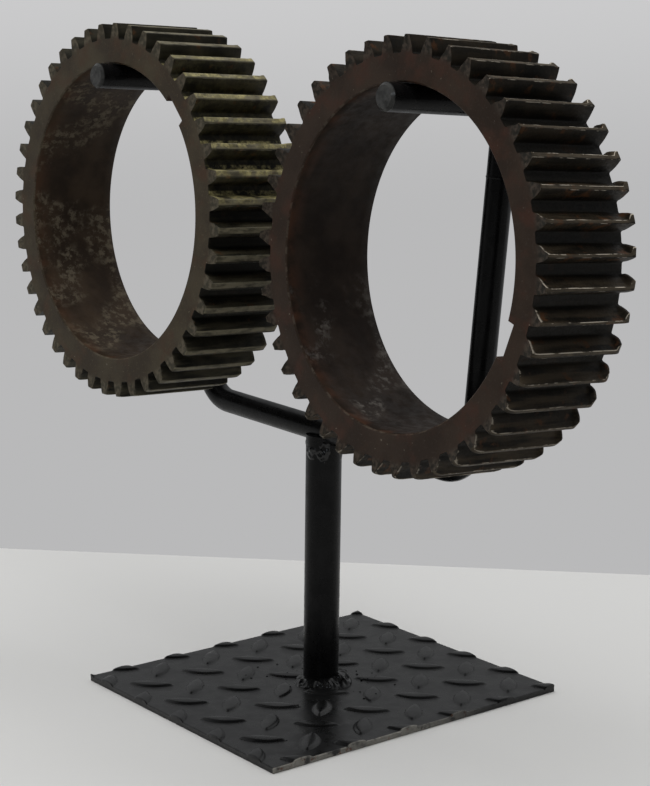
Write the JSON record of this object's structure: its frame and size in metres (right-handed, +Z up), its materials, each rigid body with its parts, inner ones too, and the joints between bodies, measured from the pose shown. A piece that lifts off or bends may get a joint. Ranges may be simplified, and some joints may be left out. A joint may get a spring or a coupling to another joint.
{
  "type": "ring gear display stand",
  "caption": "Spur ring gears hung loose on the forward pegs of a black welded bar stand with a tread plate base.",
  "frame": {"origin": "on the underside of the base plate, below the foot of the post", "axes": "+Z up, +X to the right as seen from the front, -Y to the front, the way the pegs point"},
  "size_m": [0.4912, 0.222, 0.416],
  "materials": {
    "black_paint": "gloss black enamel over welded mild steel",
    "left_gear_iron": "machined iron with an old grey-brown patina, worn tooth crests",
    "right_gear_iron": "machined iron with an old red-brown patina, worn bright tooth corners"
  },
  "bodies": {
    "stand": {"base_plate": "black_paint", "post": "black_paint", "bent_bar": "black_paint", "foot_weld": "black_paint", "front_saddle_weld": "black_paint", "rear_saddle_weld": "black_paint", "left_peg": "black_paint", "right_peg": "black_paint"},
    "left_gear": {"left_ring_gear": "left_gear_iron"},
    "right_gear": {"right_ring_gear": "right_gear_iron"}
  },
  "joints": [
    {"name": "left_gear_spin", "type": "hinge", "parent": "stand", "child": "left_gear", "pos_m": [-0.11029, -0.02401, 0.29699], "axis": [0.0209, -0.999, 0.0384], "continuous": true},
    {"name": "right_gear_spin", "type": "hinge", "parent": "stand", "child": "right_gear", "pos_m": [0.1473, -0.00861, 0.28808], "axis": [0, -0.9983, 0.0576], "continuous": true}
  ]
}
